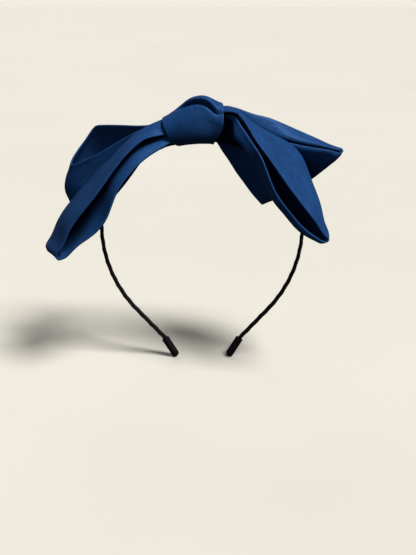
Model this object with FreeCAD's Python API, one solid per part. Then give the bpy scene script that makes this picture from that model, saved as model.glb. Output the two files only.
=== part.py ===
import FreeCAD, Part
import math
import os

V = FreeCAD.Vector

# Hair bow on a spring headband, in millimetres, +Z up.
# X runs from the wearer's one ear to the other, Y runs from the show side (-Y) to the back (+Y).
# The band lies in the XZ plane. The origin is the middle of the crown's underside.

# ---- headband centre line: tangent arcs, right half, from the crown down to the tip ----
CROWN_RADIUS = 66.0
CROWN_HALF_TURN = 40.0
SHOULDER_RADIUS = 52.0
SHOULDER_TURN = 50.0
ARM_RADIUS = 80.0
ARM_TURN = 41.0
ARM_STRAIGHT = 25.0
TIP_BEND_RADIUS = 10.0
TIP_BEND_TURN = 11.0

# ---- band section: spring steel strip inside a wound satin ribbon ----
CORE_THICKNESS = 1.2
CORE_WIDTH = 3.2
WRAP_THICKNESS = 2.4
WRAP_WIDTH = 4.4
CORE_SLACK = 0.05

# ---- flex knuckle between the crown span and each arm ----
KNUCKLE_RADIUS = 1.6
KNUCKLE_GAP = 0.1
CORE_SETBACK = 2.4

# ---- end caps: round sleeves pushed over the bare strip ----
CAP_RADIUS = 2.5
CAP_LENGTH = 14.0
CAP_NOSE_ROUND = 1.6
CAP_SOCKET_DEPTH = 12.0
CAP_SOCKET_SLACK = 0.05

# ---- satin ribbons and the knot that holds them ----
RIBBON_THICKNESS = 1.0
KNOT_THICKNESS = 1.1

# ---- sewing thread and glue ----
THREAD_RADIUS = 0.3
THREAD_TURNS = 5
THREAD_PITCH = 0.9
THREAD_LEFT_X = -4.0
THREAD_CORNER = 1.5
THREAD_LOW = (-8.4, 3.4)
THREAD_BACK = 7.0
THREAD_LEFT_TOP = 14.1
THREAD_CLIMB = 0.21
GLUE_LENGTH = 16.0
GLUE_WIDTH = 3.8
GLUE_TOP_Z = 2.95
GLUE_GAP = 0.05
STITCH_RADIUS = 0.3
STITCH_LENGTH = 2.6
STITCH_PITCH = 4.0
STITCH_COUNT = 6
STITCH_LEFT_X = -14.0
STITCH_PLACE = (10.7, 8.0)

ACROSS = V(0, 1, 0)
UPWARD = V(0, 0, 1)
CENTRE_Z = WRAP_THICKNESS / 2
CROWN_CENTRE = V(0, 0, CENTRE_Z - CROWN_RADIUS)


def heading(angle):
    """Unit vector in the XZ plane, angle in degrees up from +X."""
    return V(math.cos(math.radians(angle)), 0, math.sin(math.radians(angle)))


def left_of(angle):
    """Unit vector square to a heading, on its left."""
    return heading(angle + 90)


def walk(start, angle, steps, offset):
    """Edges of a path of arcs (radius, turn to the right) and runs (length,), moved left by offset."""
    edges = []
    point = start
    for step in steps:
        if len(step) == 1:
            end = point + heading(angle) * step[0]
            shift = left_of(angle) * offset
            edges.append(Part.LineSegment(point + shift, end + shift).toShape())
            point = end
            continue
        radius, turn = step
        side = 1 if turn > 0 else -1
        centre = point - left_of(angle) * radius * side
        spokes = [left_of(angle - turn * part) * side for part in (0, 0.5, 1)]
        reach = radius + offset * side
        edges.append(Part.Arc(*[centre + spoke * reach for spoke in spokes]).toShape())
        point = centre + spokes[2] * radius
        angle -= turn
    return edges, point, angle


def strip(start, angle, steps, thickness, width):
    """A flat strip along a path, thickness in the XZ plane and width along Y."""
    outer, end, end_angle = walk(start, angle, steps, thickness / 2)
    inner, end, end_angle = walk(start, angle, steps, -thickness / 2)
    near_shift = left_of(angle) * thickness / 2
    far_shift = left_of(end_angle) * thickness / 2
    caps = [
        Part.LineSegment(start - near_shift, start + near_shift).toShape(),
        Part.LineSegment(end - far_shift, end + far_shift).toShape(),
    ]
    outline = Part.Wire(Part.__sortEdges__(outer + inner + caps))
    solid = Part.Face(outline).extrude(V(0, width, 0))
    solid.translate(V(0, -width / 2, 0))
    return solid


def cylinder_across(centre, radius, width):
    """A cylinder along Y, centred on the XZ plane."""
    return Part.makeCylinder(radius, width, centre - V(0, width / 2, 0), V(0, 1, 0))


def mirrored(shape):
    return shape.mirror(V(0, 0, 0), V(1, 0, 0))


# ---- places worked out from the driving dimensions ----
half_crown = [(CROWN_RADIUS, CROWN_HALF_TURN), (SHOULDER_RADIUS, SHOULDER_TURN)]
CROWN_TOP = V(0, 0, CENTRE_Z)
HINGE = walk(CROWN_TOP, 0, half_crown, 0)[1]
LEFT_HINGE = V(-HINGE.x, 0, HINGE.z)
CROWN_STEPS = [
    (SHOULDER_RADIUS, SHOULDER_TURN),
    (CROWN_RADIUS, 2 * CROWN_HALF_TURN),
    (SHOULDER_RADIUS, SHOULDER_TURN),
]
ARM_STEPS = [(ARM_RADIUS, ARM_TURN), (ARM_STRAIGHT,), (TIP_BEND_RADIUS, -TIP_BEND_TURN)]
CAP_MOUTH, CAP_ANGLE = walk(HINGE, -90, ARM_STEPS, 0)[1:]
CAP_AXIS = heading(CAP_ANGLE)


def crown_core():
    """The steel strip inside the crown span, stopping short of both knuckles."""
    core = strip(LEFT_HINGE, 90, CROWN_STEPS, CORE_THICKNESS, CORE_WIDTH)
    for hinge in (LEFT_HINGE, HINGE):
        core = core.cut(cylinder_across(hinge, CORE_SETBACK, WRAP_WIDTH))
    return core


def crown_wrap():
    """The ribbon wound round the crown span, hollow for the strip, with a socket at each knuckle."""
    skin = strip(LEFT_HINGE, 90, CROWN_STEPS, WRAP_THICKNESS, WRAP_WIDTH)
    bore_thickness = CORE_THICKNESS + 2 * CORE_SLACK
    bore_width = CORE_WIDTH + 2 * CORE_SLACK
    bore = strip(LEFT_HINGE, 90, CROWN_STEPS, bore_thickness, bore_width)
    skin = skin.cut(bore)
    for hinge in (LEFT_HINGE, HINGE):
        skin = skin.cut(cylinder_across(hinge, KNUCKLE_RADIUS + KNUCKLE_GAP, WRAP_WIDTH + 2))
    return skin


def arm_core():
    """The steel strip inside the right arm, from the knuckle to the bottom of the cap's socket."""
    steps = ARM_STEPS + [(CAP_SOCKET_DEPTH - CAP_SOCKET_SLACK,)]
    return strip(HINGE, -90, steps, CORE_THICKNESS, CORE_WIDTH)


def arm_wrap():
    """The ribbon wound round the right arm, with a round head at the knuckle, ending at the cap."""
    skin = strip(HINGE, -90, ARM_STEPS, WRAP_THICKNESS, WRAP_WIDTH)
    skin = skin.fuse(cylinder_across(HINGE, KNUCKLE_RADIUS, WRAP_WIDTH))
    bore_thickness = CORE_THICKNESS + 2 * CORE_SLACK
    bore_width = CORE_WIDTH + 2 * CORE_SLACK
    bore = strip(HINGE, -90, ARM_STEPS, bore_thickness, bore_width)
    return skin.cut(bore).removeSplitter()


def end_cap():
    """The right end cap: a round sleeve with a rounded nose and a flat socket for the strip."""
    cap = Part.makeCylinder(CAP_RADIUS, CAP_LENGTH, CAP_MOUTH, CAP_AXIS)
    nose = [e for e in cap.Edges if (e.CenterOfMass - CAP_MOUTH).dot(CAP_AXIS) > CAP_LENGTH - 0.1]
    cap = cap.makeFillet(CAP_NOSE_ROUND, nose)
    socket_thickness = CORE_THICKNESS + 2 * CAP_SOCKET_SLACK
    socket_width = CORE_WIDTH + 2 * CAP_SOCKET_SLACK
    socket = strip(CAP_MOUTH, CAP_ANGLE, [(CAP_SOCKET_DEPTH,)], socket_thickness, socket_width)
    return cap.cut(socket)


def onto_plane(points, corners, along):
    """Points moved along one direction onto the plane through three corners, and the plane's normal."""
    a, b, c = [V(*corner) for corner in corners]
    normal = (b - a).cross(c - a).normalize()
    return [V(*p) + along * ((a - V(*p)).dot(normal) / along.dot(normal)) for p in points], normal


def inset(points, normal, distance):
    """An open outline moved to its left by a distance, in its own plane, with square corners kept sharp."""
    sides = [normal.cross(b - a).normalize() for a, b in zip(points, points[1:])]
    moved = []
    for i, point in enumerate(points):
        before = sides[max(i - 1, 0)]
        after = sides[min(i, len(sides) - 1)]
        moved.append(point + (before + after) * (distance / (1 + before.dot(after))))
    return moved


def ribbon_outline(upper, lower, corners, along):
    """The edge of a ribbon loop as a closed wire: out along upper, round the fold, back along lower."""
    points, normal = onto_plane(upper + lower, corners, along)
    turn = V()
    for a, b in zip(points, points[1:] + points[:1]):
        turn += a.cross(b)
    side = 1 if turn.dot(normal) > 0 else -1
    inner = inset(points, normal, RIBBON_THICKNESS * side)
    return Part.makePolygon(points + inner[::-1] + points[:1])


def ribbon_loop(outlines, along):
    """A ribbon loop: the outlines of its edges, and of its crest between them, joined by straight lines."""
    return Part.makeLoft([ribbon_outline(*outline, along) for outline in outlines], True, True)


def front_left_loop():
    """The long left loop: it droops over the band, open towards the front."""
    front = (
        [(-9, 0, 9), (-19, 0, 6), (-31, 0, 4), (-43, 0, -5), (-54, 0, -17), (-67, 0, -34), (-79, 0, -52)],
        [(-83, 0, -60), (-78, 0, -59), (-66, 0, -51), (-57, 0, -43), (-48, 0, -28), (-38, 0, -14),
         (-27, 0, -1), (-19, 0, 3), (-9, 0, 6)],
        [(-9, -7, 0), (-83, -31, 0), (-9, -7, 10)],
    )
    crest = (
        [(-9, 0, 12), (-22, 0, 12), (-33, 0, 7), (-48, 0, -6), (-62, 0, -19), (-77, 0, -34), (-90, 0, -52)],
        [(-94, 0, -61), (-89, 0, -60), (-76, 0, -51), (-66, 0, -42), (-55, 0, -25), (-43, 0, -11),
         (-28, 0, 0), (-19, 0, 4), (-9, 0, 6)],
        [(-9, -5.5, 0), (-94, -5, 0), (-9, -5.5, 10)],
    )
    back = (
        [(-9, 0, 11), (-21, 0, 9), (-32, 0, 4), (-46, 0, -8), (-59, 0, -22), (-73, 0, -37), (-85, 0, -53)],
        [(-89, 0, -60), (-85, 0, -60), (-75, 0, -51), (-66, 0, -41), (-55, 0, -24), (-43, 0, -10),
         (-28, 0, 0), (-19, 0, 4), (-9, 0, 6)],
        [(-9, -4, 0), (-89, 7, 0), (-9, -4, 10)],
    )
    return ribbon_loop([front, crest, back], ACROSS)


def front_right_loop():
    """The steep right loop: it hangs in front of the band, open towards the front and the inside."""
    front = (
        [(6, 0, 14), (14, 0, 15), (21, 0, 15), (28, 0, 7), (38, 0, -7), (50, 0, -22), (65, 0, -40)],
        [(70, 0, -47), (66, 0, -49), (55, 0, -42), (46, 0, -34), (38, 0, -23), (32, 0, -10),
         (24, 0, 3), (6, 0, 8)],
        [(6, -6, 0), (70, -37, 0), (6, -6, 10)],
    )
    crest = (
        [(6, 0, 16), (15, 0, 18), (24, 0, 15), (34, 0, 9), (48, 0, 1), (60, 0, -14), (70, 0, -36)],
        [(73, 0, -47), (68, 0, -48), (60, 0, -38), (51, 0, -28), (42, 0, -18), (33, 0, -8),
         (23, 0, 3), (6, 0, 8)],
        [(6, -5.5, 0), (72, -18, 0), (6, -5.5, 10)],
    )
    back = (
        [(6, 0, 15), (14, 0, 16), (22, 0, 11), (32, 0, 3), (45, 0, -7), (57, 0, -20), (67, 0, -36)],
        [(71, 0, -46), (66, 0, -47), (58, 0, -36), (50, 0, -27), (42, 0, -18), (33, 0, -8),
         (23, 0, 3), (6, 0, 8)],
        [(6, -5, 0), (69, -4, 0), (6, -5, 10)],
    )
    return ribbon_loop([front, crest, back], ACROSS)


def back_left_loop():
    """The short left loop behind: its opening gapes upward and to the front."""
    opening = (
        [(-26, 5.6, 0), (-34, 11, 0), (-50, 18, 0), (-64, 26, 0)],
        [(-74, 25, 0), (-78, 16, 0), (-70, 10, 0), (-57, 6, 0), (-40, 3.5, 0), (-26, 3, 0)],
        [(-24, 2, 12), (-78, 14, -15), (-66, 26, 6)],
    )
    hem = (
        [(-24, 6.4, 0), (-36, 15, 0), (-52, 20, 0), (-68, 24, 0)],
        [(-78, 24, 0), (-79, 18, 0), (-70, 12, 0), (-54, 9, 0), (-38, 7, 0), (-24, 3.6, 0)],
        [(-22, 4, 0), (-79, 18, -52), (-68, 24, -48)],
    )
    return ribbon_loop([opening, hem], UPWARD)


def back_right_loop():
    """The wide right loop behind: a flat pocket whose end fold runs from the top corner to the bottom one."""
    opening = (
        [(11, 6.6, 0), (20, 7.5, 0), (30, 9, 0), (48, 11, 0), (66, 8, 0)],
        [(82, 1, 0), (76, -3, 0), (62, -3, 0), (48, -3, 0), (32, -2.5, 0), (20, 1, 0), (11, 2.8, 0)],
        [(14, 3, 15.5), (82, -2, -6), (48, 11, 8)],
    )
    hem = (
        [(10, 6.6, 0), (15, 12, 0), (22, 17, 0), (28, 21, 0), (32, 24, 0)],
        [(37, 25, 0), (39, 21, 0), (31, 17, 0), (24, 13, 0), (18, 9, 0), (14, 6, 0), (10, 3.2, 0)],
        [(9, 4, 2), (38, 21, -44), (30, 22, -37)],
    )
    return ribbon_loop([opening, hem], UPWARD)


def waist(ends):
    """The gathered middle of a bow: a tapered block through boxes (x, low y, high y, low z, high z)."""
    sections = []
    for x, low_y, high_y, low_z, high_z in ends:
        corners = [V(x, low_y, low_z), V(x, high_y, low_z), V(x, high_y, high_z), V(x, low_y, high_z)]
        sections.append(Part.makePolygon(corners + corners[:1]))
    return Part.makeLoft(sections, True, True)


def front_bow():
    """The front ribbon: both front loops and the gathered middle between them."""
    middle = waist([(-12, -7.6, -4.6, 6.5, 11.2), (9, -7.4, -5.2, 9, 15.6)])
    return front_left_loop().fuse([front_right_loop(), middle])


def back_bow():
    """The back ribbon: both back loops and the gathered middle between them."""
    middle = waist([(-28, 3.4, 6.2, 0, 10), (-12, 3.2, 6, 4.5, 11.2), (12, 3.4, 6, 4.5, 15)])
    return back_left_loop().fuse([back_right_loop(), middle])


def closed_curve(points):
    curve = Part.BSplineCurve()
    curve.interpolate(Points=points, PeriodicFlag=True)
    return Part.Wire(curve.toShape())


def shrunk(points, distance):
    """A ring of points moved in towards its middle by a distance."""
    middle = sum(points, V()) * (1 / len(points))
    return [p + (middle - p).normalize() * distance for p in points]


def knot_section(low_x, lean, ring):
    """A ring of (y, z) points round the bows and the band, in a plane that leans along X with height."""
    return [V(low_x + lean * z, y, z) for y, z in ring]


def knot_wrap():
    """The wide satin band folded round both bows and the crown of the headband, open at its ends."""
    sections = [
        knot_section(-16.5, -0.45, [(0, -3.3), (-8, -1.2), (-12.3, 3), (-12.3, 9), (-8, 15),
                                    (0, 16.5), (6.5, 14.5), (9.5, 8), (9, 1), (5, -2.6)]),
        knot_section(-4, 0, [(0, -1.6), (-8, 0.3), (-12.6, 5), (-12.4, 13), (-8.5, 21),
                             (0, 24.5), (6.5, 21), (9.5, 12), (9, 3), (5, -1)]),
        knot_section(8.2, 0.23, [(0, -1.9), (-8, 0.2), (-12.5, 5), (-12.3, 13), (-8, 20),
                                 (0, 21.5), (6.5, 19.5), (9.5, 12), (9, 3), (5, -1.2)]),
    ]
    outside = Part.makeLoft([closed_curve(ring) for ring in sections], True, True)
    inside = Part.makeLoft([closed_curve(shrunk(ring, KNOT_THICKNESS)) for ring in sections], True, True)
    return outside.cut(inside)


def thread_ring(x, low, high):
    """One turn of thread in the plane of a given x, round a box from low to high (y, z)."""
    frame = Part.makeBox(10, high[0] - low[0], high[1] - low[1], V(x - 5, low[0], low[1]))
    long_edges = [e for e in frame.Edges if abs(e.tangentAt(e.FirstParameter).x) > 0.9]
    frame = frame.makeFillet(THREAD_CORNER, long_edges)
    path = frame.slice(V(1, 0, 0), x)[0]
    first = path.Edges[0]
    start = first.valueAt(first.FirstParameter)
    along = first.tangentAt(first.FirstParameter)
    profile = Part.Wire(Part.makeCircle(THREAD_RADIUS, start, along))
    return path.makePipeShell([profile], True, False)


def waist_thread():
    """Turns of thread wound round both gathered middles, higher towards the right as they are."""
    rings = []
    for turn in range(THREAD_TURNS):
        x = THREAD_LEFT_X + turn * THREAD_PITCH
        top = THREAD_LEFT_TOP + THREAD_CLIMB * (x - THREAD_LEFT_X)
        rings.append(thread_ring(x, THREAD_LOW, (THREAD_BACK, top)))
    return Part.makeCompound(rings)


def glue_pad():
    """A pad of set glue between the crown of the band and the bows, its underside following the band."""
    block = Part.makeBox(GLUE_LENGTH, GLUE_WIDTH, GLUE_TOP_Z, V(-GLUE_LENGTH / 2, -GLUE_WIDTH / 2, 0))
    return block.cut(cylinder_across(CROWN_CENTRE, CROWN_RADIUS + WRAP_THICKNESS / 2 + GLUE_GAP, WRAP_WIDTH))


def knot_stitches():
    """A row of short stitches closing the knot at the back."""
    y, z = STITCH_PLACE
    starts = [V(STITCH_LEFT_X + i * STITCH_PITCH, y, z) for i in range(STITCH_COUNT)]
    return Part.makeCompound([Part.makeCylinder(STITCH_RADIUS, STITCH_LENGTH, p, V(1, 0, 0)) for p in starts])


def main():
    os.makedirs("parts", exist_ok=True)
    right_core = arm_core()
    right_wrap = arm_wrap()
    right_cap = end_cap()
    nodes = {
        "band_core_crown": crown_core(),
        "band_core_left_arm": mirrored(right_core),
        "band_core_right_arm": right_core,
        "ribbon_wrap_crown": crown_wrap(),
        "ribbon_wrap_left_arm": mirrored(right_wrap),
        "ribbon_wrap_right_arm": right_wrap,
        "left_end_cap": mirrored(right_cap),
        "right_end_cap": right_cap,
        "front_bow": front_bow(),
        "back_bow": back_bow(),
        "knot_wrap": knot_wrap(),
        "waist_thread": waist_thread(),
        "glue_pad": glue_pad(),
        "knot_stitches": knot_stitches(),
    }
    for name, shape in nodes.items():
        shape.exportStep("parts/" + name + ".step")
        box = shape.BoundBox
        print(name, shape.isValid(), len(shape.Solids), round(shape.Volume, 1))
        print("   ", [round(v, 1) for v in (box.XMin, box.YMin, box.ZMin, box.XMax, box.YMax, box.ZMax)])
    print("hinge", HINGE, "cap mouth", CAP_MOUTH, "cap heading", CAP_ANGLE)


main()
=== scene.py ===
"""A navy satin bow on a ribbon-wound headband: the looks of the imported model."""
import math

import bpy
import numpy as np
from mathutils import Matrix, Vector, noise


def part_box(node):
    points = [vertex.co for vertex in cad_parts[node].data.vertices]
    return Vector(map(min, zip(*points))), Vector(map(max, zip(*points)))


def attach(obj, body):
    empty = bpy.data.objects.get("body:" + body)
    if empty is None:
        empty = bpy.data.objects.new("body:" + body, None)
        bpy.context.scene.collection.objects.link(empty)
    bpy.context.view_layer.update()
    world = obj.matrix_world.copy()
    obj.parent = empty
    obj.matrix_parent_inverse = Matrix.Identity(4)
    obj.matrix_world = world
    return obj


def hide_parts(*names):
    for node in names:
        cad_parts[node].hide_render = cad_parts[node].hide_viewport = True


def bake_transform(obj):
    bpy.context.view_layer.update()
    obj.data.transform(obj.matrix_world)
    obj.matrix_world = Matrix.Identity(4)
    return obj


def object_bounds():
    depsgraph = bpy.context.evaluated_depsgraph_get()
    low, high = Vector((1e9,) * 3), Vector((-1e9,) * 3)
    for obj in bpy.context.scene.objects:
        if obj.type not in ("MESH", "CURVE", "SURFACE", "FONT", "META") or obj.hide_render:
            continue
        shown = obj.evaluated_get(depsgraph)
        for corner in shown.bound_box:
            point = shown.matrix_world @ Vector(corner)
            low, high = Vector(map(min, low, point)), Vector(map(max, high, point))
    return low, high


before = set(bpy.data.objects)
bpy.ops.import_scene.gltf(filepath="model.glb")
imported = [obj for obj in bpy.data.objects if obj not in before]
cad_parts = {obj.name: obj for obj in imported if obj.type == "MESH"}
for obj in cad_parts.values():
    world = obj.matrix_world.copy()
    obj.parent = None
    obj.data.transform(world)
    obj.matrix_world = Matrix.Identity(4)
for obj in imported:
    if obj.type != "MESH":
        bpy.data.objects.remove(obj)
cad_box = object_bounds()

MM = 0.001  # the meshes are built in millimetres

# The band's centre line from its top to one cap: (radius, degrees) arcs and (0, length) runs
BAND_RUNS = [(66.0, 40.0), (52.0, 50.0), (80.0, 41.0), (0.0, 25.0), (10.0, -11.0)]
BAND_TOP = 1.2

# The steel strip, with its bare end in the cap's socket
CORE_HALF_WIDTH = 1.6
CORE_HALF_THICK = 0.6
CORE_TAIL = 10.0

# The black tape, and the section that it is wound to
WRAP_HALF_WIDTH = 2.2
WRAP_HALF_THICK = 1.2
TAPE_WIDTH = 10.0
TAPE_PITCH = 8.4
TAPE_THICK = 0.2
TAPE_IN_CAP = 0.4

# The satin ribbons: thickness, and the rolled hems along their edges
FABRIC = 0.9
HEM = 0.6
HEM_TURNS = np.radians([35, 70, 110, 145])
HEM_STEPS = len(HEM_TURNS)
HEM_WIDTH = 3.0
HEM_EASE = 1.6

WRAP_THREAD_RADIUS = 0.32
STITCH_THREAD_RADIUS = 0.24


# ---- curves and surfaces -------------------------------------------------------------------


def cubic(knots, rows, at):
    """A natural cubic through rows at rising knots, read at the places in at."""
    knots = np.asarray(knots, float)
    rows = np.asarray(rows, float)
    count = len(knots)
    gap = np.diff(knots)
    flat = rows.reshape(count, -1)
    matrix = np.zeros((count, count))
    right = np.zeros_like(flat)
    matrix[0, 0] = matrix[-1, -1] = 1.0
    for i in range(1, count - 1):
        matrix[i, i - 1 : i + 2] = gap[i - 1], 2 * (gap[i - 1] + gap[i]), gap[i]
        right[i] = 6 * ((flat[i + 1] - flat[i]) / gap[i] - (flat[i] - flat[i - 1]) / gap[i - 1])
    bend = np.linalg.solve(matrix, right)
    at = np.asarray(at, float)
    i = np.clip(np.searchsorted(knots, at, side="right") - 1, 0, count - 2)
    h = gap[i][:, None]
    a = (knots[i + 1] - at)[:, None] / h
    b = (at - knots[i])[:, None] / h
    out = a * flat[i] + b * flat[i + 1]
    out += ((a**3 - a) * bend[i] + (b**3 - b) * bend[i + 1]) * h**2 / 6
    return out.reshape((len(at),) + rows.shape[1:])


def steps_between(points):
    """Distances from each point to the next."""
    return np.linalg.norm(np.diff(points, axis=0), axis=-1)


def unit(v):
    return v / np.maximum(np.linalg.norm(v, axis=-1, keepdims=True), 1e-12)


def smooth(t):
    t = np.clip(t, 0.0, 1.0)
    return t * t * (3 - 2 * t)


def grid_from_rails(rails, count, across):
    """Points of a smooth sheet through rails, and its distance along and across in mm."""
    rails = np.array(rails, float)
    along = np.concatenate([[0], np.cumsum(steps_between(rails.swapaxes(0, 1)).mean(1))])
    dense = cubic(along, rails.swapaxes(0, 1), np.linspace(0, along[-1], count))
    widths = steps_between(rails).mean(1)
    over = np.concatenate([[0], np.cumsum(widths)])
    places = np.array(across) * over[-1]
    grid = cubic(over, dense.swapaxes(0, 1), places).swapaxes(0, 1)
    return grid, np.linspace(0, along[-1], count), places


def grid_from_closed(rings, count, across):
    """As grid_from_rails, for rails that close on themselves."""
    rings = np.array(rings, float)
    once = rings[:, :-1]
    thrice = np.concatenate([once, once, once, once[:, :1]], axis=1)
    along = np.concatenate([[0], np.cumsum(steps_between(thrice.swapaxes(0, 1)).mean(1))])
    third = along[once.shape[1]]
    at = np.linspace(third, 2 * third, count)
    dense = cubic(along, thrice.swapaxes(0, 1), at)
    over = np.concatenate([[0], np.cumsum(steps_between(rings).mean(1))])
    places = np.array(across) * over[-1]
    grid = cubic(over, dense.swapaxes(0, 1), places).swapaxes(0, 1)
    return grid, at - third, places


def normals_of(grid):
    """Unit normals of a grid of points, one for each."""
    along = np.gradient(grid, axis=0)
    over = np.gradient(grid, axis=1)
    return unit(np.cross(along, over))


def hem_rows(count, width):
    """Places from 0 to 1 across a ribbon, closer together in the two hems."""
    inside = np.linspace(HEM_WIDTH / width, 1 - HEM_WIDTH / width, count)
    edge = np.array([HEM, HEM + 0.5, HEM + 1.2]) / width
    return np.concatenate([edge, inside, 1 - edge[::-1]])


def face_outwards(mesh, points):
    """Turns the faces over if the volume that they close comes out negative."""
    mesh.calc_loop_triangles()
    corners = np.empty(3 * len(mesh.loop_triangles), dtype=np.int32)
    mesh.loop_triangles.foreach_get("vertices", corners)
    a, b, c = points[corners.reshape(-1, 3)].swapaxes(0, 1)
    if (a * np.cross(b, c)).sum() < 0:
        mesh.flip_normals()


def new_object(name, points, faces, material, uvs=None):
    """A smooth mesh in the scene, from points and weave coordinates in mm."""
    mesh = bpy.data.meshes.new(name)
    mesh.from_pydata([tuple(p) for p in np.asarray(points) * MM], [], faces)
    mesh.polygons.foreach_set("use_smooth", [True] * len(mesh.polygons))
    if uvs is not None:
        layer = mesh.uv_layers.new(name="weave")
        loops = np.empty(len(mesh.loops), dtype=np.int32)
        mesh.loops.foreach_get("vertex_index", loops)
        layer.data.foreach_set("uv", (np.asarray(uvs)[loops] * MM).ravel())
    mesh.materials.append(material)
    mesh.validate()
    face_outwards(mesh, np.asarray(points))
    mesh.update()
    obj = bpy.data.objects.new(name, mesh)
    bpy.context.scene.collection.objects.link(obj)
    return obj


def thick_sheet(grid, along, across, thickness, hem):
    """Closed rings round a sheet, with their weave coordinates: two faces and two rounded hems."""
    normal = normals_of(grid)
    out_near = unit(grid[:, 0] - grid[:, 1])
    out_far = unit(grid[:, -1] - grid[:, -2])
    from_edge = np.minimum(across - across[0], across[-1] - across)
    half = thickness / 2 + (hem - thickness / 2) * (1 - smooth(from_edge / HEM_EASE))
    top = grid + normal * half[None, :, None]
    bottom = grid - normal * half[None, :, None]

    def edge(base, n, out):
        return [base + hem * (np.cos(a) * n + np.sin(a) * out) for a in HEM_TURNS]

    far = edge(grid[:, -1], normal[:, -1], out_far)
    near = edge(grid[:, 0], -normal[:, 0], out_near)
    ring = np.concatenate(
        [top, np.stack(far, 1), bottom[:, ::-1], np.stack(near, 1)], axis=1
    )
    over = np.concatenate(
        [across, np.full(HEM_STEPS, across[-1]), across[::-1], np.full(HEM_STEPS, across[0])]
    )
    uv = np.stack(np.meshgrid(along, over, indexing="ij"), -1)
    return ring, uv


def ring_faces(rows, size, offset=0, closed_ends=True):
    """Quads between rings of points, and one face over each end."""
    faces = []
    for i in range(rows - 1):
        for j in range(size):
            k = (j + 1) % size
            a = offset + i * size
            faces.append((a + j, a + size + j, a + size + k, a + k))
    if closed_ends:
        faces.append(tuple(offset + j for j in range(size)))
        last = offset + (rows - 1) * size
        faces.append(tuple(last + j for j in range(size))[::-1])
    return faces


def sheet_object(name, sheets, material):
    """One object from several thick sheets, whose ends are closed with quads and two hem caps."""
    points, faces, uvs, total = [], [], [], 0
    for ring, uv in sheets:
        rows, size = ring.shape[:2]
        points.append(ring.reshape(-1, 3))
        uvs.append(uv.reshape(-1, 2))
        columns = size // 2 - HEM_STEPS
        faces += ring_faces(rows, size, total, closed_ends=False)
        for row in (0, rows - 1):
            base = total + row * size
            under = base + size - 1 - HEM_STEPS
            end = [(base + j, base + j + 1, under - j - 1, under - j) for j in range(columns - 1)]
            end.append(tuple(base + columns - 1 + k for k in range(HEM_STEPS + 2)))
            end.append(tuple(under + k for k in range(HEM_STEPS + 1)) + (base,))
            faces += end if row == 0 else [face[::-1] for face in end]
        total += rows * size
    return new_object(name, np.concatenate(points), faces, material, np.concatenate(uvs))


# ---- materials -----------------------------------------------------------------------------


def rgb(r, g, b):
    """A shader colour from the 0 to 255 colour of a screen."""

    def linear(c):
        c = c / 255
        return c / 12.92 if c <= 0.04045 else ((c + 0.055) / 1.055) ** 2.4

    return (linear(r), linear(g), linear(b), 1.0)


class Shader:
    """A material's node tree, with short calls to add and join nodes."""

    def __init__(self, name):
        self.material = bpy.data.materials.new(name)
        self.material.use_nodes = True
        self.tree = self.material.node_tree
        self.surface = self.tree.nodes["Principled BSDF"]

    def set(self, **values):
        for key, value in values.items():
            self.surface.inputs[key.replace("_", " ")].default_value = value

    def node(self, kind, links=(), **settings):
        made = self.tree.nodes.new(kind)
        for key, value in settings.items():
            setattr(made, key, value)
        for socket, source in dict(links).items():
            if isinstance(source, bpy.types.NodeSocket):
                self.tree.links.new(source, made.inputs[socket])
            else:
                made.inputs[socket].default_value = source
        return made

    def math(self, operation, a, b=0.0):
        return self.node("ShaderNodeMath", {0: a, 1: b}, operation=operation).outputs[0]

    def stretched(self, place, by):
        made = self.node("ShaderNodeVectorMath", {0: place, 1: by}, operation="MULTIPLY")
        return made.outputs[0]

    def object_place(self):
        return self.node("ShaderNodeTexCoord").outputs["Object"]

    def weave_place(self, along, over):
        """The ribbon's own coordinates times a number for each direction."""
        uv = self.node("ShaderNodeUVMap", uv_map="weave").outputs[0]
        return self.stretched(uv, (along, over, 1.0))

    def noise(self, place, scale, detail=2.0):
        made = self.node("ShaderNodeTexNoise", {"Vector": place, "Scale": scale, "Detail": detail})
        return made.outputs["Fac"]

    def ramp(self, fac, low, high):
        """A noise's middle half spread from low to high."""
        made = self.node("ShaderNodeMapRange", {0: fac, 1: 0.25, 2: 0.75, 3: low, 4: high})
        return made.outputs[0]

    def mix(self, fac, a, b):
        made = self.node("ShaderNodeMix", data_type="RGBA")
        self.tree.links.new(fac, made.inputs[0])
        made.inputs[6].default_value = a
        made.inputs[7].default_value = b
        return made.outputs[2]

    def into(self, socket, source):
        self.tree.links.new(source, self.surface.inputs[socket])

    def bump(self, height, distance, strength=1.0):
        made = self.node(
            "ShaderNodeBump", {"Height": height, "Distance": distance, "Strength": strength}
        )
        self.into("Normal", made.outputs[0])


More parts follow.
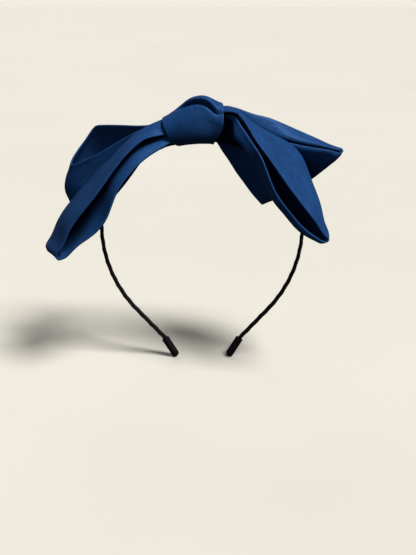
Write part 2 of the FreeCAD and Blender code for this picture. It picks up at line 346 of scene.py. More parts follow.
def satin(name, dark, light):
    """Smooth warp threads along the ribbon, a fine weft across it, and slow changes of tone."""
    s = Shader(name)
    s.set(Metallic=0.05, Specular_IOR_Level=0.07, Anisotropic=0.5)
    s.set(Specular_Tint=(0.22, 0.5, 1.0, 1.0))
    floats = s.noise(s.weave_place(240, 1800), 1.0, 3.0)
    slub = s.noise(s.weave_place(26, 240), 1.0, 2.0)
    cloudy = s.noise(s.weave_place(45, 45), 1.0, 2.0)
    tone = s.math("ADD", s.math("MULTIPLY", floats, 0.5), s.math("MULTIPLY", slub, 0.25))
    tone = s.math("ADD", tone, s.math("MULTIPLY", cloudy, 0.25))
    s.into("Base Color", s.mix(s.ramp(tone, 0.0, 1.0), dark, light))
    s.into("Roughness", s.ramp(slub, 0.42, 0.54))
    weft = s.node(
        "ShaderNodeTexWave",
        {"Vector": s.weave_place(1.0, 0.02), "Scale": 700.0, "Distortion": 1.5, "Detail": 1.0},
        wave_type="BANDS",
    ).outputs["Fac"]
    height = s.math("ADD", s.math("MULTIPLY", floats, 0.8), s.math("MULTIPLY", weft, 0.2))
    s.bump(height, 0.00006, 0.5)
    tangent = s.node("ShaderNodeTangent", direction_type="UV_MAP", uv_map="weave").outputs[0]
    s.into("Tangent", tangent)
    return s.material


def tape_black(name):
    s = Shader(name)
    s.set(Specular_IOR_Level=0.08)
    ribs = s.node(
        "ShaderNodeTexWave",
        {"Vector": s.weave_place(1.0, 0.03), "Scale": 380.0, "Distortion": 0.8, "Detail": 1.0},
        wave_type="BANDS",
    ).outputs["Fac"]
    floats = s.noise(s.weave_place(80, 1800), 1.0, 2.0)
    tone = s.math("ADD", s.math("MULTIPLY", ribs, 0.5), s.math("MULTIPLY", floats, 0.5))
    s.into("Base Color", s.mix(s.ramp(tone, 0.0, 1.0), rgb(3, 3, 4), rgb(9, 9, 10)))
    s.into("Roughness", s.ramp(floats, 0.45, 0.6))
    s.bump(tone, 0.00006, 0.6)
    return s.material


def rubber_black(name):
    s = Shader(name)
    s.set(Specular_IOR_Level=0.12)
    place = s.object_place()
    grain = s.noise(place, 5200.0, 2.0)
    scuff = s.noise(place, 420.0, 3.0)
    s.into("Base Color", s.mix(s.ramp(scuff, 0.0, 1.0), rgb(4, 4, 4), rgb(9, 8, 8)))
    s.into("Roughness", s.ramp(scuff, 0.55, 0.72))
    s.bump(grain, 0.00003, 0.6)
    return s.material


def steel(name):
    s = Shader(name)
    s.set(Metallic=1.0)
    lines = s.noise(s.stretched(s.object_place(), (1.0, 30.0, 1.0)), 240.0, 3.0)
    s.into("Base Color", s.mix(s.ramp(lines, 0.0, 1.0), rgb(120, 122, 126), rgb(176, 178, 182)))
    s.into("Roughness", s.ramp(lines, 0.25, 0.42))
    s.bump(lines, 0.00002, 0.4)
    return s.material


def thread(name, dark, light):
    s = Shader(name)
    s.set(Specular_IOR_Level=0.3, Sheen_Weight=0.2, Sheen_Roughness=0.4)
    ply = s.node(
        "ShaderNodeTexWave",
        {"Vector": s.weave_place(1.0, 1.0), "Scale": 480.0, "Distortion": 0.4},
        wave_type="BANDS",
        bands_direction="DIAGONAL",
    ).outputs["Fac"]
    s.into("Base Color", s.mix(ply, dark, light))
    s.into("Roughness", s.ramp(ply, 0.6, 0.5))
    s.bump(ply, 0.00008, 0.8)
    return s.material


def glue(name):
    s = Shader(name)
    s.set(Transmission_Weight=0.7, IOR=1.49, Coat_Weight=0.3)
    cloud = s.noise(s.object_place(), 600.0, 2.0)
    s.into("Base Color", s.mix(s.ramp(cloud, 0.0, 1.0), rgb(214, 206, 180), rgb(236, 232, 214)))
    s.into("Roughness", s.ramp(cloud, 0.12, 0.3))
    s.bump(cloud, 0.0001, 0.3)
    return s.material


def floor_paint(name):
    s = Shader(name)
    s.set(Specular_IOR_Level=0.15)
    cloud = s.noise(s.object_place(), 3.0, 3.0)
    dark, light = (0.275, 0.266, 0.24, 1), (0.285, 0.277, 0.25, 1)
    s.into("Base Color", s.mix(s.ramp(cloud, 0.0, 1.0), dark, light))
    s.into("Roughness", s.ramp(cloud, 0.8, 0.9))
    return s.material


# ---- the bow's loops -----------------------------------------------------------------------


def ripple(grid, along, across, height, scale, seed):
    """Soft uneven waves that run along the ribbon, with smaller ones on them, in mm."""
    lift = np.empty(grid.shape[:2])
    for i, s in enumerate(along):
        for j, w in enumerate(across):
            u, v = s / scale[0], w / scale[1]
            lift[i, j] = noise.noise(Vector((u, v, seed)))
            lift[i, j] += 0.22 * noise.noise(Vector((u * 3.1, v * 2.7, seed + 5)))
    return grid + normals_of(grid) * (height * lift)[:, :, None]


def loop(ribs, count, rows, height, scale, seed, pleats):
    """A ribbon loop through ribs, the lines across it from the knot out and back again.

    It has count lines along and rows places across. Its waves have a height, a length along and
    across in scale, and a seed. A pleat is (place across from 0 to 1, depth, half breadth, how far
    it reaches from the knot).
    """
    rails = list(zip(*ribs))
    width = steps_between(np.array(rails, float)).mean(1).sum()
    grid, along, across = grid_from_rails(rails, count, hem_rows(rows, width))
    grid = ripple(grid, along, across, height, scale, seed)
    normal = normals_of(grid)
    from_knot = np.minimum(along, along[-1] - along)
    for place, depth, breadth, reach in pleats:
        ridge = np.exp(-(((across - place * across[-1]) / breadth) ** 2))
        lift = depth * np.exp(-from_knot / reach)[:, None] * ridge[None]
        grid = grid + normal * lift[:, :, None]
    return thick_sheet(grid, along, across, FABRIC, HEM)


def front_left():
    """Each line runs from the front edge over the face and the crest to the back edge."""
    over = [
        [(-6, -8.6, 9.2), (-6, -7.4, 13), (-6, -3.4, 15.4), (-6, 1.2, 14.6)],
        [(-13, -10.6, 7.4), (-13.4, -9.4, 11.4), (-14, -4.6, 14.5), (-14, 1.4, 13.6)],
        [(-20.7, -11.5, 5.8), (-21.8, -9.6, 10), (-23.7, -4.8, 12.5), (-23, 1.4, 11.6)],
        [(-29.5, -15.2, 4.7), (-31, -11, 7.6), (-33.5, -4.5, 8), (-33, 1.8, 6)],
        [(-34.8, -18, 2.2), (-37.5, -12, 4), (-41.3, -3, 1.6), (-41, 3, -1)],
        [(-44.5, -22, -6.9), (-47, -13, -4.2), (-50.5, -1.8, -8), (-50, 4.5, -11)],
        [(-54.3, -26, -19.4), (-57.5, -14.5, -16), (-62, 0, -18.7), (-62, 6, -22.5)],
        [(-64.5, -28.5, -32.3), (-69, -16, -30), (-75, 0, -32), (-74.5, 6.5, -36)],
        [(-75.8, -30, -47.3), (-80.5, -17.5, -46), (-87, -1.5, -47.8), (-85.5, 4, -50)],
        [(-81.2, -31, -57), (-86.2, -18.8, -57.6), (-92.6, -4, -58.6), (-90, 2, -58)],
    ]
    fold = [
        [(-82.8, -31, -60.4), (-88, -20, -61.5), (-94, -6, -61.9), (-91.2, 0.8, -60.2)],
        [(-82.1, -31.1, -61.7), (-87.2, -20.4, -62.3), (-93.3, -6.8, -62.5), (-90.6, 0.5, -60.6)],
        [(-80.3, -31.1, -61.8), (-85.4, -21, -61.6), (-91, -7.8, -61.2), (-88.4, 0.3, -59.4)],
    ]
    under = [
        [(-77.4, -31, -60), (-79.6, -23, -60.2), (-84, -10.6, -57.4), (-84.6, 0.4, -54)],
        [(-71.9, -30.5, -54.5), (-73, -22.6, -55.4), (-76.6, -10, -52.6), (-77.5, 2, -46)],
        [(-61.7, -29.6, -47.4), (-63.4, -21.6, -46.4), (-68.6, -9.6, -42), (-70, 3.5, -36)],
        [(-53.4, -28.4, -38.2), (-56.6, -20.6, -36.2), (-62, -9, -31), (-63.5, 4, -26)],
        [(-47.6, -25.4, -24.6), (-50.6, -19.6, -21.4), (-55, -8.6, -19.4), (-56, 4, -18.5)],
        [(-42.8, -23, -17.5), (-45.6, -17.6, -13), (-50.3, -7.4, -10.6), (-51, 2, -12)],
        [(-35.8, -20, -10.2), (-38.6, -15.6, -4.4), (-41.6, -7, -1.6), (-42, 1.5, -3.4)],
        [(-29, -16.5, -5), (-31, -12.6, -0.2), (-33.4, -6, 2.6), (-34, 0.5, 2.6)],
        [(-22, -13.2, -1), (-23.2, -10.4, 2.2), (-24.6, -6, 4.6), (-25, 1.6, 5)],
        [(-16.5, -10, 1.8), (-17, -9, 4.4), (-17.5, -5, 6.2), (-17.5, 1.6, 6.4)],
        [(-6, -8, 3), (-6, -7, 5), (-6, -4, 6), (-6, -1, 6.5)],
    ]
    return loop(
        over + fold + under, count=190, rows=34, height=0.4, scale=(30, 9), seed=3.1,
        pleats=[(0.15, 0.3, 2.2, 22), (0.42, -0.3, 2.4, 26), (0.7, 0.3, 2.6, 20)],
    )


def front_right():
    """Lines as on the left; below the opening the ribbon rolls under towards the knot."""
    over = [
        [(5, -8, 14.4), (5, -7, 17.2), (5, -4.5, 18.6), (5, -1.2, 17.6)],
        [(10, -10.5, 17.8), (10.5, -8, 20), (11, -4.8, 20.6), (11, -1, 19.6)],
        [(14.5, -12.4, 18.6), (15.5, -9.5, 20.4), (16.5, -4.8, 20.6), (17, -0.4, 19)],
        [(19, -13.4, 18.2), (20.6, -11, 18.8), (22.6, -6.4, 17.2), (23.4, -1.4, 15.2)],
        [(23.5, -16.5, 14), (25.6, -12.5, 14.4), (28.5, -8, 12), (29.8, -3.2, 9)],
        [(29.4, -22, 4.8), (32.5, -15, 7.4), (37.5, -7.6, 6.6), (38.5, -4.6, 1.5)],
        [(37, -27.5, -4.8), (41, -18.5, -1.4), (47.7, -7, 1.4), (48.5, -4.6, -4.5)],
        [(45.7, -32, -16.9), (50, -22, -12), (57, -6.5, -7.2), (56.5, -4.4, -15)],
        [(55, -35.6, -29), (59, -26, -23.4), (63, -9.5, -20.5), (61.6, -5, -26)],
        [(64, -36.9, -40.2), (66.6, -30, -35.6), (68, -17.5, -34), (66, -10.5, -36)],
        [(69.2, -37, -46.2), (70.1, -33, -44.4), (70.2, -26, -43), (68.6, -19, -43)],
    ]
    fold = [
        [(70.7, -37.2, -48), (71, -34.6, -47.4), (70.9, -29, -46.2), (69.2, -22, -45.4)],
        [(69.8, -37.2, -48.9), (69.2, -36, -49.2), (69.2, -30, -47.8), (68, -23, -46.4)],
    ]
    under = [
        [(65.4, -36.9, -47.4), (64.6, -36, -49.2), (65, -27, -46.4), (65, -17, -42.4)],
        [(57.8, -35.8, -42), (57.3, -34.5, -45.6), (58, -25, -42), (59.5, -10.5, -34)],
        [(52, -35, -36), (51.5, -33, -40.8), (52.5, -22, -36), (55.5, -7, -26.5)],
        [(46, -33.8, -28.8), (45, -31.2, -33.4), (46.5, -20, -28.6), (50.5, -5.6, -18)],
        [(41, -32, -21.6), (39.6, -29.2, -26.8), (41.5, -18.5, -21), (45, -5, -11)],
        [(36.9, -29.4, -12.8), (35.4, -25.6, -16.8), (37.4, -16.8, -12.6), (39.8, -4.8, -5.4)],
        [(33.2, -25.6, -4), (31.4, -21.8, -8), (33.6, -14.8, -4.6), (34.6, -4.8, -1)],
        [(28.6, -21.4, 3.4), (25.6, -19.6, -2.4), (27.6, -13, -0.4), (29, -4.8, 2)],
        [(24, -17.4, 9.8), (21.6, -17, 3), (22.5, -11, 4.6), (23.5, -4.6, 6)],
        [(21.4, -15, 13.4), (18.8, -15, 6.6), (19.6, -10, 8), (20.5, -4.6, 9)],
        [(19.6, -13.2, 15.4), (18.4, -12.8, 11.6), (18.4, -9, 11.4), (18.4, -4.6, 11.8)],
        [(17.2, -10.4, 16.4), (16.8, -9.6, 15), (16.6, -7.4, 14.6), (16.6, -4.8, 14.6)],
        [(12, -8.6, 15.6), (12, -8, 14.6), (12, -6.4, 14), (12, -4.6, 14)],
        [(6, -7.6, 13), (6, -7.4, 11.9), (6, -6.4, 11.2), (6, -4.6, 11)],
    ]
    return loop(
        over + fold + under, count=190, rows=34, height=0.35, scale=(28, 9), seed=7.7,
        pleats=[(0.3, 0.25, 2.4, 20), (0.62, -0.3, 2.4, 22)],
    )


def back_left():
    """From the opening's edge down to the hem: the far layer, the end fold, the near layer."""
    far = [
        [(-8, 5.4, 14), (-8, 5.8, 10), (-8, 6, 6), (-8, 6, 2)],
        [(-20, 4.6, 11), (-20, 5.8, 6.8), (-20, 6.4, 2.4), (-20, 6.2, -1.8)],
        [(-31.6, 5.8, 8.4), (-32, 9.6, 2.6), (-32, 11, -4), (-31, 11, -8.8)],
        [(-42.1, 9.5, 7.9), (-42.5, 14, -1), (-41.5, 15, -11), (-40, 15, -18.4)],
        [(-53.9, 15.5, 7.2), (-54, 20, -6), (-53, 20, -20.5), (-50.5, 19.5, -31)],
        [(-61.6, 19.6, 6.6), (-63, 24, -9.6), (-62, 23.6, -27.6), (-59, 22.4, -41)],
        [(-65.6, 21.8, 5), (-69.6, 25.4, -12.6), (-69, 24.8, -32.6), (-65.5, 24, -48.4)],
        [(-70.3, 22, -1.6), (-76, 24.4, -18.6), (-76, 24.6, -37), (-72, 24.4, -52)],
        [(-75.6, 19.6, -8.6), (-81, 21.6, -23.6), (-81, 22, -39.6), (-76.6, 22.4, -54)],
    ]
    fold = [[(-79.3, 15.4, -15.4), (-84.2, 17.8, -29.4), (-82.6, 19, -41.4), (-78.4, 20, -54.8)]]
    near = [
        [(-77, 13.4, -15.8), (-80.5, 14.4, -29), (-79, 16, -42.4), (-75, 17, -54)],
        [(-71, 11, -13), (-73, 11.4, -27.4), (-71, 12.6, -41.4), (-68, 13, -52)],
        [(-63, 8.4, -9.2), (-64.4, 8.6, -22.6), (-63, 9.6, -34), (-60, 9.6, -43)],
        [(-54, 6.2, -3.8), (-55, 6.4, -15.4), (-53.6, 7.4, -25), (-51.4, 7.6, -33)],
        [(-44, 4.6, 2), (-44.6, 5, -7.6), (-43, 5.8, -15), (-41.4, 6.2, -20.2)],
        [(-34, 3.6, 6.9), (-34, 4.2, -0.6), (-33, 4.9, -5.4), (-31.8, 5.2, -8.2)],
        [(-21, 2.7, 10.3), (-21, 3, 5.4), (-21, 3.4, 1), (-20.6, 3.8, -2.2)],
        [(-8, 3, 12.6), (-8, 3.2, 8.4), (-8, 3.4, 4.6), (-8, 3.6, 1)],
    ]
    return loop(
        far + fold + near, count=180, rows=44, height=0.75, scale=(34, 11), seed=12.3,
        pleats=[(0.3, 0.4, 3.0, 26), (0.65, -0.4, 3.0, 26)],
    )


def back_right():
    """As the left one, but its far layer bulges towards the near one and leaves only a slit.

    Its lines across run from the top edge over the bulge and back in, then down to the hem.
    """
    far = [
        [(4, 5.6, 18), (4, 5, 14), (4, 5.4, 11), (4, 6, 8), (4, 6.4, 4)],
        [(13, 1.8, 20.2), (13.6, 0.4, 15.4), (13, 2.2, 12.6), (12, 5, 8.4), (10, 8, 1)],
        [(22, 1.8, 18.8), (23, 0.1, 12.9), (22.4, 1.8, 9.8), (19, 7, 0), (15, 11.5, -9)],
        [(30.5, 2.4, 15.9), (32, -0.9, 9.4), (31.4, 1.2, 6.2), (27, 9.5, -8), (20, 16, -20)],
        [(38.3, 2.6, 14.5), (40, -1.6, 5.8), (39.4, 0.8, 3), (34, 12.5, -16), (26, 20, -29.4)],
        [(49, 4.4, 10), (49.5, -2.4, 2.6), (49, 0.6, 0), (41, 15, -22.6), (31.2, 22.6, -36.8)],
        [(60, 5, 4.6), (60, -2.4, 0.1), (59.4, 0.6, -2.4), (48, 16, -26.8), (34, 24, -40.4)],
        [(71.3, 4.2, -1), (70, -1.6, -2.2), (69.4, 1, -4.6), (54, 14.4, -28.4), (35.6, 24, -42.2)],
        [(78.6, 3, -4), (77.6, -0.3, -4.3), (77, 1.2, -6), (58.6, 12, -29), (36.8, 23, -43.4)],
    ]
    fold = [
        [(82.3, -0.4, -5.2), (81.7, -0.3, -6), (80.4, 0.2, -8), (59.6, 10.6, -29.2),
         (37.2, 21.6, -43.6)],
    ]
    near = [
        [(80.9, -1.8, -6.2), (80.2, -2, -7.4), (78.4, -1, -10), (57.8, 9.8, -28.6),
         (36.6, 20.6, -43)],
        [(76.4, -3, -5.4), (75.8, -3.3, -6.7), (73.4, -1.6, -10.4), (52.8, 8.6, -26.8),
         (35.2, 19.4, -41.2)],
        [(66.1, -4, -3.4), (65.6, -4.3, -4.8), (63.4, -2, -9), (46, 8.6, -23.6),
         (32.8, 18, -37.8)],
        [(55.2, -4, -1.6), (54.8, -4.3, -3), (53, -2.2, -7), (39.4, 8, -18), (29, 16, -32.6)],
        [(46, -3.8, 0.8), (45.6, -4, -0.5), (44.2, -2, -4.4), (33.4, 7.4, -12), (24.2, 13, -26)],
        [(37, -3.6, 4.6), (36.7, -3.6, 3.4), (35.2, -1.8, -0.2), (27, 6.4, -6), (19.6, 10, -19)],
        [(29, -3, 8.2), (28.7, -2.8, 7), (27.4, -0.8, 3.8), (21.6, 4.8, -0.6), (15.4, 7.2, -11.8)],
        [(21, -1.4, 11.6), (20.8, -1, 10.4), (19.8, 0.8, 7), (16.4, 3.9, 2.4), (11.4, 4.8, -5.4)],
        [(13, 0.4, 13.6), (12.8, 0.8, 12.4), (12.2, 1.8, 9), (11, 3.4, 6), (7.8, 3.8, 0.2)],
        [(4, 2, 12), (4, 2.2, 11), (4, 2.8, 8.6), (4, 3.6, 6), (3, 3.8, 2)],
    ]
    return loop(
        far + fold + near, count=190, rows=44, height=0.45, scale=(30, 11), seed=21.9,
        pleats=[(0.25, 0.3, 3.0, 24), (0.6, -0.4, 3.0, 24)],
    )


def knot_wrap(material):
    """A band round the waist, from its left edge to its right, with a deep fold along the top."""
    rings = [
        [(-12.5, 0, -1.75), (-13.3, -4, -1.4), (-15.4, -7.6, -0.1), (-17.8, -10.4, 2),
         (-19.6, -12, 5.6), (-21.2, -11.7, 9.6), (-22.3, -9.6, 12.4), (-22.5, -7.4, 13.3),
         (-22.4, -5.8, 13.6), (-22.2, -4.2, 13.7), (-22, -2.4, 13.6), (-21.2, 0.8, 13.2),
         (-19.8, 5, 11.6), (-18, 8.2, 8), (-15.5, 8.4, 3.4), (-13, 4.6, -1)],
        [(-8, 0, -1.1), (-8.5, -4, -0.8), (-9.6, -8, 0.6), (-11, -11.2, 2.6),
         (-12.4, -12.8, 7), (-13.6, -12.6, 12), (-14.4, -10.7, 15.6), (-14.5, -8.6, 17.2),
         (-14.4, -6.9, 17.3), (-14.2, -5, 17.7), (-14, -3.6, 18.8), (-13.4, 0.8, 18.2),
         (-12.4, 6, 16), (-11, 9.2, 10.4), (-9.5, 9.2, 4), (-8.3, 5, -0.6)],
        [(-4.5, 0, -0.75), (-4.6, -4, -0.4), (-5, -8.4, 1), (-5.6, -11.6, 3.4),
         (-6.3, -13.2, 8.2), (-6.8, -13, 13.8), (-7.1, -11.2, 18.8), (-7.2, -9, 20.9),
         (-7.1, -6.8, 18.2), (-7, -4.2, 20.4), (-6.9, -5.8, 23.8), (-6.8, 0, 23.6),
         (-6.5, 6.4, 19.4), (-6, 9.8, 12.4), (-5.2, 9.6, 4.8), (-4.6, 5.4, -0.4)],
        [(-1, 0, -0.6), (-1, -4, -0.2), (-1, -8.6, 1.2), (-1, -11.8, 3.8),
         (-1, -13.2, 9), (-1, -13, 14.8), (-1, -11.9, 19.2), (-1, -10.2, 21.7),
         (-1, -7.8, 17), (-1, -4.2, 20), (-1, -7, 24.7), (-1, -2, 25.9),
         (-1, 5, 23.6), (-1, 9, 16), (-1, 9.8, 6.4), (-1, 5.8, -0.2)],
        [(3, 0, -0.6), (3, -4, -0.2), (3.2, -8.6, 1.4), (3.6, -11.6, 4),
         (4, -12.9, 8.6), (4.3, -12.9, 13.6), (4.5, -12.7, 17), (4.6, -11.6, 19.3),
         (4.8, -9, 15.6), (4.9, -6.2, 18.4), (5, -8.5, 22.9), (4.7, -3.4, 24.9),
         (4.4, 3, 23.4), (4, 8.4, 17), (3.4, 9.8, 7.6), (3, 5.8, -0.2)],
        [(5.5, 0, -0.7), (5.5, -4, -0.3), (6, -8.4, 1.4), (7, -11.2, 4.2),
         (8, -13, 8.2), (8.5, -13.5, 12), (8.7, -13.4, 14.4), (8.9, -12.5, 16.3),
         (9.2, -11, 16.6), (9.4, -10.8, 18), (9.3, -10, 20), (8.9, -4.4, 22.6),
         (8.3, 2.4, 21.8), (7.6, 7.6, 17), (6.6, 9.6, 8), (5.6, 5.6, -0.3)],
        [(6.5, 0, -0.9), (6.6, -4, -0.5), (7.2, -8.2, 1.2), (8.8, -11.5, 4),
         (11.4, -13.2, 8.2), (12.5, -14.1, 11.6), (12.7, -13.9, 14.2), (12.7, -12.8, 16.2),
         (12.7, -11.6, 17.4), (12.7, -11, 18.4), (12.6, -9.6, 19.6), (12.3, -4.6, 21.4),
         (11.6, 1.6, 20.4), (10.8, 7, 15.6), (9.4, 9, 8), (7.2, 5.2, -0.5)],
    ]
    rings = [ring + ring[:1] for ring in rings]
    rows, count = 36, 200
    wide = steps_between(np.array(rings, float)).mean(1).sum()
    grid, along, across = grid_from_closed(rings, count, hem_rows(rows, wide))
    ring, uv = thick_sheet(grid, along, across, FABRIC, HEM)
    rows, size = ring.shape[:2]
    points = ring[:-1].reshape(-1, 3)
    faces = []
    for i in range(rows - 1):
        n = (i + 1) % (rows - 1)
        for j in range(size):
            k = (j + 1) % size
            faces.append((i * size + j, n * size + j, n * size + k, i * size + k))
    return new_object("knot_wrap_fabric", points, faces, material, uv[:-1].reshape(-1, 2))


# ---- the band ------------------------------------------------------------------------------


def band_place(distance, side):
    """The band's centre and heading at a distance from its top, towards side -1 or 1."""
    x, z, turn, left = 0.0, BAND_TOP, 0.0, distance
    for radius, amount in BAND_RUNS:
        length = amount if radius == 0 else math.radians(abs(amount)) * radius
        go = min(left, length)
        if radius == 0:
            x += go * math.cos(turn)
            z -= go * math.sin(turn)
        else:
            sign = 1 if amount > 0 else -1
            after = turn + sign * go / radius
            x += sign * radius * (math.sin(after) - math.sin(turn))
            z -= sign * radius * (math.cos(turn) - math.cos(after))
            turn = after
        left -= go
        if left <= 0:
            break
    x += max(left, 0.0) * math.cos(turn)
    z -= max(left, 0.0) * math.sin(turn)
    heading = (side * math.cos(turn), 0.0, -math.sin(turn))
    outward = (side * math.sin(turn), 0.0, math.cos(turn))
    return np.array((side * x, 0.0, z)), np.array(heading), np.array(outward)


def band_length():
    return sum(a if r == 0 else math.radians(abs(a)) * r for r, a in BAND_RUNS)


def section_point(angle, half_width, half_thick):
    """A rounded rectangle: across the band in Y, and out from its centre."""
    c, s = math.cos(angle), math.sin(angle)
    power = 0.62  # 1 is an ellipse, 0 a square
    y = half_width * math.copysign(abs(c) ** power, c)
    out = half_thick * math.copysign(abs(s) ** power, s)
    return y, out


def squeezed(value, low, high):
    """The value, with what lies outside low to high pressed to a hundredth of its distance."""
    inside = min(max(value, low), high)
    return inside + (value - inside) * 0.01


def wound_tape(name, side, material):
    """One flat tape, wound round the core in turns that lap over each other."""
    steps = 30  # points per turn
    lap = TAPE_WIDTH - TAPE_PITCH
    lap_ease = 1.4
    inset = 2 * TAPE_THICK
    widths = [0.0, 0.1, 0.5, 1.1, 1.7, 2.6, 4.0, 5.6, 7.2, 8.3, 9.2, 9.9, TAPE_WIDTH]
    points, uvs = [], []
    count = int(band_length() / TAPE_PITCH * steps) + steps // 2
    rounding = 0.86
    perimeter = 2 * (WRAP_HALF_WIDTH * 2 + WRAP_HALF_THICK * 2) * rounding
    per_turn = math.hypot(perimeter, TAPE_PITCH)
    for i in range(count + 1):
        angle = 2 * math.pi * i / steps
        start = TAPE_PITCH * i / steps - TAPE_PITCH / 2
        for w, face in [(w, TAPE_THICK) for w in widths] + [(w, 0.0) for w in widths[::-1]]:
            lift = TAPE_THICK * (1 - smooth((w - lap) / lap_ease)) + face
            place = squeezed(start + w, 0.0, band_length() + TAPE_IN_CAP)
            centre, _, outward = band_place(place, side)
            y, out = section_point(
                side * angle, WRAP_HALF_WIDTH - inset, WRAP_HALF_THICK - inset
            )
            away = math.hypot(y / 2, out) or 1.0
            y += lift * (y / 2) / away
            out += lift * out / away
            points.append(centre + np.array((0.0, y, 0.0)) + outward * out)
            uvs.append((i / steps * per_turn, w))
    faces = ring_faces(count + 1, 2 * len(widths))
    return new_object(name, points, faces, material, uvs)


def core_strip(name, side, material):
    """The sprung steel strip: rolled edges, and its bare end in the cap."""
    length = band_length() + CORE_TAIL
    count = 150
    narrowing, nose = 0.35, 2.0
    outline = [
        (1.0, 0.35), (0.9, 0.8), (0.72, 1.0), (-0.72, 1.0), (-0.9, 0.8), (-1.0, 0.35),
        (-1.0, -0.35), (-0.9, -0.8), (-0.72, -1.0), (0.72, -1.0), (0.9, -0.8), (1.0, -0.35),
    ]
    points = []
    for i in range(count + 1):
        place = length * i / count
        centre, _, outward = band_place(place, side)
        taper = 1 - narrowing * smooth((place - length + nose) / nose)
        for y, out in outline:
            points.append(
                centre
                + np.array((0.0, y * CORE_HALF_WIDTH * taper, 0.0))
                + outward * out * CORE_HALF_THICK * taper
            )
    return new_object(name, points, ring_faces(count + 1, len(outline)), material)


def end_cap(name, side, material):
    """A moulded sleeve: a rolled lip at the mouth, a faint draft and a rounded nose."""
    mouth, heading, outward = band_place(band_length(), side)
    profile = [
        (2.30, 0.9), (2.26, 0.25), (2.30, 0.05), (2.40, 0.0), (2.49, 0.08), (2.5, 0.25),
        (2.5, 0.7), (2.47, 0.9), (2.38, 1.05), (2.37, 1.3), (2.38, 3.0), (2.40, 6.0),
        (2.42, 9.0), (2.43, 11.4), (2.40, 12.2), (2.28, 12.9), (2.02, 13.45), (1.6, 13.8),
        (1.05, 13.95), (0.5, 14.0), (0.15, 14.0),
    ]
    around = 40
    seam_height, seam_breadth, seam_from, seam_to = 0.03, 0.09, 1.1, 13.6
    points = []
    for radius, place in profile:
        for k in range(around):
            angle = 2 * math.pi * k / around
            seam = seam_height * math.exp(-((math.sin(angle) / seam_breadth) ** 2))
            r = radius + (seam if seam_from < place < seam_to else 0.0)
            points.append(
                mouth + heading * place
                + np.array((0.0, math.cos(angle) * r, 0.0))
                + outward * math.sin(angle) * r
            )
    return new_object(name, points, ring_faces(len(profile), around), material)


# ---- thread and glue -----------------------------------------------------------------------


def tube(path, radius, sides=10):
    """Rings of points along a path, with the distance along and round for the thread's twist."""
    path = np.array(path, float)
    heading = unit(np.gradient(path, axis=0))
    helper = np.where(np.abs(heading[:, :1]) < 0.8, [[1.0, 0, 0]], [[0, 0, 1.0]])
    first = unit(np.cross(heading, helper))
    second = np.cross(heading, first)
    along = np.concatenate([[0], np.cumsum(steps_between(path))])
    angles = np.arange(sides) * 2 * math.pi / sides
    ring = (
        path[:, None]
        + radius * np.cos(angles)[None, :, None] * first[:, None]
        + radius * np.sin(angles)[None, :, None] * second[:, None]
    )
    uv = np.stack(np.meshgrid(along, angles * radius, indexing="ij"), -1)
    return ring.reshape(-1, 3), ring_faces(len(path), sides), uv.reshape(-1, 2)


def joined(name, parts, material):
    """One object from several tubes."""
    points, faces, uvs, total = [], [], [], 0
    for p, f, t in parts:
        points.append(p)
        uvs.append(t)
        faces += [tuple(total + i for i in face) for face in f]
        total += len(p)
    return new_object(name, np.concatenate(points), faces, material, np.concatenate(uvs))


def waist_thread(material):
    """One spiral of thread round the gathered middles."""
    low, high = (np.array(c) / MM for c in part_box("waist_thread"))
    margin = 0.4
    centre = (low + high) / 2
    reach = (high - low) / 2 - margin
    turns, steps = 5, 40
    path = []
    for i in range(turns * steps + 1):
        angle = 2 * math.pi * i / steps
        x = low[0] + margin + (high[0] - low[0] - 2 * margin) * i / (turns * steps)
        y = centre[1] + reach[1] * math.cos(angle)
        z = centre[2] + reach[2] * math.sin(angle)
        path.append((x, y, z))
    return joined("waist_thread_turns", [tube(path, WRAP_THREAD_RADIUS)], material)


def knot_stitches(material):
    """A row of slanting stitches, each an arch with its two ends in the cloth."""
    low, high = (np.array(c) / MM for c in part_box("knot_stitches"))
    count, steps = 6, 12
    half_run, half_rise, arch, margin = 1.1, 0.9, 0.75, 1.3
    parts = []
    for i in range(count):
        x = low[0] + margin + (high[0] - low[0] - 2 * margin) * i / (count - 1)
        path = []
        for k in range(steps + 1):
            t = k / steps
            path.append((
                x - half_run + 2 * half_run * t,
                low[1] + arch * math.sin(math.pi * t),
                (low[2] + high[2]) / 2 - half_rise + 2 * half_rise * t,
            ))
        parts.append(tube(path, STITCH_THREAD_RADIUS))
    return joined("knot_seam_stitches", parts, material)


def glue_bead(material):
    """A squashed bead of glue with a slightly wavy edge."""
    low, high = (np.array(c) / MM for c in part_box("glue_pad"))
    centre, half = (low + high) / 2, (high - low) / 2
    points, rows, around = [], 17, 36
    flat, fill = 0.6, 0.94
    for i in range(rows):
        t = math.pi * (i + 0.5) / rows
        for k in range(around):
            a = 2 * math.pi * k / around
            x = math.copysign(abs(math.cos(a)) ** flat, math.cos(a)) * math.sin(t) ** flat
            y = math.copysign(abs(math.sin(a)) ** flat, math.sin(a)) * math.sin(t) ** flat
            edge = 1 + 0.05 * math.sin(3 * a + 1) + 0.03 * math.sin(7 * a)
            offset = np.array((x * edge * fill, y * edge * fill, math.cos(t)))
            points.append(centre + half * offset)
    return new_object("glue_bead", points, ring_faces(rows, around), material)


# ---- making the pieces ---------------------------------------------------------------------

navy = satin("navy_satin", rgb(8, 27, 54), rgb(23, 53, 95))
black_tape = tape_black("black_ribbon")
cap_rubber = rubber_black("cap_rubber")
spring = steel("spring_steel")
navy_thread = thread("navy_thread", rgb(8, 16, 34), rgb(24, 42, 78))
clear_glue = glue("clear_glue")

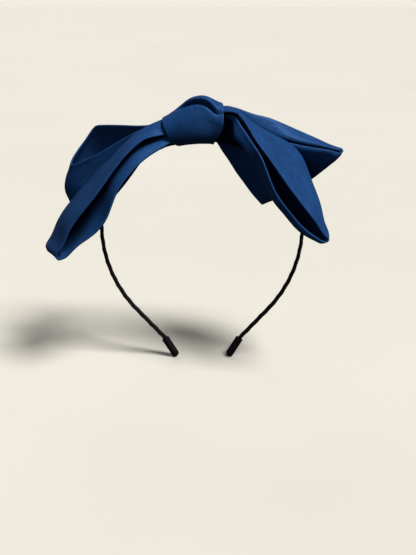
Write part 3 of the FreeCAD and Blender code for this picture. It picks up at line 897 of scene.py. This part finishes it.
front_bow = sheet_object("front_bow_ribbon", [front_left(), front_right()], navy)
back_bow = sheet_object("back_bow_ribbon", [back_left(), back_right()], navy)
knot = knot_wrap(navy)
thread_turns = waist_thread(navy_thread)
stitches = knot_stitches(navy_thread)
bead = glue_bead(clear_glue)
for piece, node, slot in (
    (front_bow, "front_bow", "bow_satin"),
    (back_bow, "back_bow", "bow_satin"),
    (knot, "knot_wrap", "bow_satin"),
    (thread_turns, "waist_thread", "sewing_thread"),
    (stitches, "knot_stitches", "sewing_thread"),
    (bead, "glue_pad", "clear_glue"),
):
    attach(piece, "crown")
    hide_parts(node)

for side, word in ((-1, "left"), (1, "right")):
    arm = word + "_arm"
    tape = wound_tape(word + "_band_tape", side, black_tape)
    core = core_strip(word + "_band_core", side, spring)
    cap = end_cap(word + "_cap_sleeve", side, cap_rubber)
    for piece, kind, slot in (
        (tape, "ribbon_wrap_", "band_ribbon"),
        (core, "band_core_", "spring_steel"),
    ):
        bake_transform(piece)
        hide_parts(kind + "crown", kind + word + "_arm")
    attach(cap, arm)
    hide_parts(word + "_end_cap")


# ---- floor, lights and camera --------------------------------------------------------------


def floor():
    """A wide, pale, flat floor, which ends far beyond where it meets the backdrop by eye."""
    low = cad_box[0][2] / MM
    radii = (200, 800, 3000, 12000, 60000)
    around = 96
    points = [
        (r * math.cos(2 * math.pi * k / around), r * math.sin(2 * math.pi * k / around), low)
        for r in radii
        for k in range(around)
    ]
    faces = []
    for i in range(len(radii) - 1):
        for k in range(around):
            n = (k + 1) % around
            near, far = i * around, (i + 1) * around
            faces.append((near + n, near + k, far + k, far + n))
    faces.append(tuple(range(around)))
    made = new_object("floor", points, faces, floor_paint("pale_floor"))
    made.visible_diffuse = False
    made.visible_glossy = False


def studio_air():
    """Soft dim light from everywhere, and a pale backdrop where the eye looks past the floor."""
    world = bpy.data.worlds.new("studio")
    world.use_nodes = True
    nodes, links = world.node_tree.nodes, world.node_tree.links
    dim = nodes["Background"]
    dim.inputs[0].default_value = (1.0, 0.98, 0.95, 1)
    dim.inputs[1].default_value = 0.06
    backdrop = nodes.new("ShaderNodeBackground")
    backdrop.inputs[0].default_value = rgb(242, 237, 225)
    seen = nodes.new("ShaderNodeLightPath").outputs["Is Camera Ray"]
    both = nodes.new("ShaderNodeMixShader")
    links.new(seen, both.inputs[0])
    links.new(dim.outputs[0], both.inputs[1])
    links.new(backdrop.outputs[0], both.inputs[2])
    links.new(both.outputs[0], nodes["World Output"].inputs[0])
    bpy.context.scene.world = world


def sun(name, toward, strength, spread, colour, glossy=True):
    """A soft light from the direction toward, its disc spread over some degrees."""
    light = bpy.data.lights.new(name, "SUN")
    light.energy = strength
    light.angle = math.radians(spread)
    light.color = colour
    obj = bpy.data.objects.new(name, light)
    obj.rotation_euler = Vector(toward).to_track_quat("Z", "Y").to_euler()
    obj.visible_glossy = glossy
    bpy.context.scene.collection.objects.link(obj)


def camera():
    """In front of the bow and above it, looking down at it."""
    look_down = 21.34
    made = bpy.data.cameras.new("camera")
    made.sensor_width = 36.0
    made.lens = 45.4
    made.clip_start = 0.01
    obj = bpy.data.objects.new("camera", made)
    obj.location = (0.00365, -0.40723, 0.07435)
    obj.rotation_euler = (math.radians(90 - look_down), 0.0, 0.0)
    bpy.context.scene.collection.objects.link(obj)
    bpy.context.scene.camera = obj


floor()
camera()
sun("key", (0.42, -0.3, 0.86), strength=10.0, spread=22, colour=(1.0, 0.98, 0.95))
sun("fill", (-0.55, -0.8, 0.3), strength=0.8, spread=40, colour=(0.95, 0.97, 1.0), glossy=False)
sun("back", (-0.25, 0.8, 0.5), strength=1.4, spread=40, colour=(0.97, 0.98, 1.0), glossy=False)
studio_air()
bpy.context.scene.view_settings.view_transform = "Standard"
